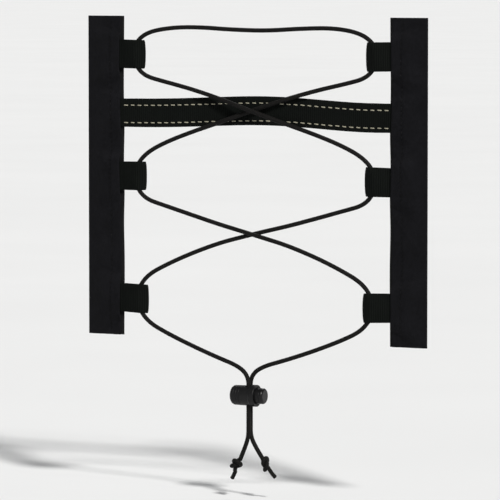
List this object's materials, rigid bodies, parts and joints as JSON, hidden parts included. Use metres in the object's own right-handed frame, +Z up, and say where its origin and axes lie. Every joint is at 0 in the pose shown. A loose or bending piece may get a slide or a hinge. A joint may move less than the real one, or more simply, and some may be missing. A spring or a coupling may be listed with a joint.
{
  "type": "cord lock lacing set",
  "caption": "Elastic cord laced through folded webbing keepers on two sewn seams, its two ends held by a spring cord lock with a push button.",
  "frame": {"origin": "on the face that is sewn to the panel (the plane Y = 0), midway between the two seams and level with the middle pair of keepers", "axes": "+Z up, +X across to the wearer's left seam as seen from the front, +Y into the panel; the front faces -Y"},
  "size_m": [0.262, 0.0164, 0.3213],
  "materials": {
    "ribbed_webbing": "ribbed nylon webbing, near black",
    "cover_fabric": "plain-weave nylon, near black",
    "backing_tape": "woven seam tape, black",
    "black_thread": "bonded polyester thread, black",
    "beige_thread": "bonded polyester thread, beige",
    "cord_braid": "braided polyester sheath, warm black",
    "rubber_core": "natural rubber strands",
    "barrel_plastic": "fine-textured acetal, black",
    "plunger_plastic": "smooth acetal, black",
    "spring_steel": "bright spring wire"
  },
  "bodies": {
    "seams_and_cord": {"backing_tape_right": "backing_tape", "cover_strip_right": "cover_fabric", "topstitch_right": "black_thread", "keeper_right_top": "ribbed_webbing", "keeper_right_middle": "ribbed_webbing", "keeper_right_bottom": "ribbed_webbing", "backing_tape_left": "backing_tape", "cover_strip_left": "cover_fabric", "topstitch_left": "black_thread", "keeper_left_top": "ribbed_webbing", "keeper_left_middle": "ribbed_webbing", "keeper_left_bottom": "ribbed_webbing", "cross_strap": "ribbed_webbing", "strap_stitch_upper": "beige_thread", "strap_stitch_lower": "beige_thread", "cord_sheath": "cord_braid", "cord_core": "rubber_core", "cord_end_left": "cord_braid", "cord_end_right": "cord_braid"},
    "lock": {"lock_barrel": "barrel_plastic", "lock_spring": "spring_steel"},
    "button": {"lock_plunger": "plunger_plastic"}
  },
  "joints": [
    {"name": "lock_slide", "type": "slide", "parent": "seams_and_cord", "child": "lock", "axis": [0, 0, 1], "range_m": [-0.016, 0]},
    {"name": "plunger_press", "type": "slide", "parent": "lock", "child": "button", "axis": [-1, 0, 0], "range_m": [0, 0.0038], "stiffness_N_per_m": 900, "springref_m": -0.003, "deforming": ["lock_spring"]}
  ]
}
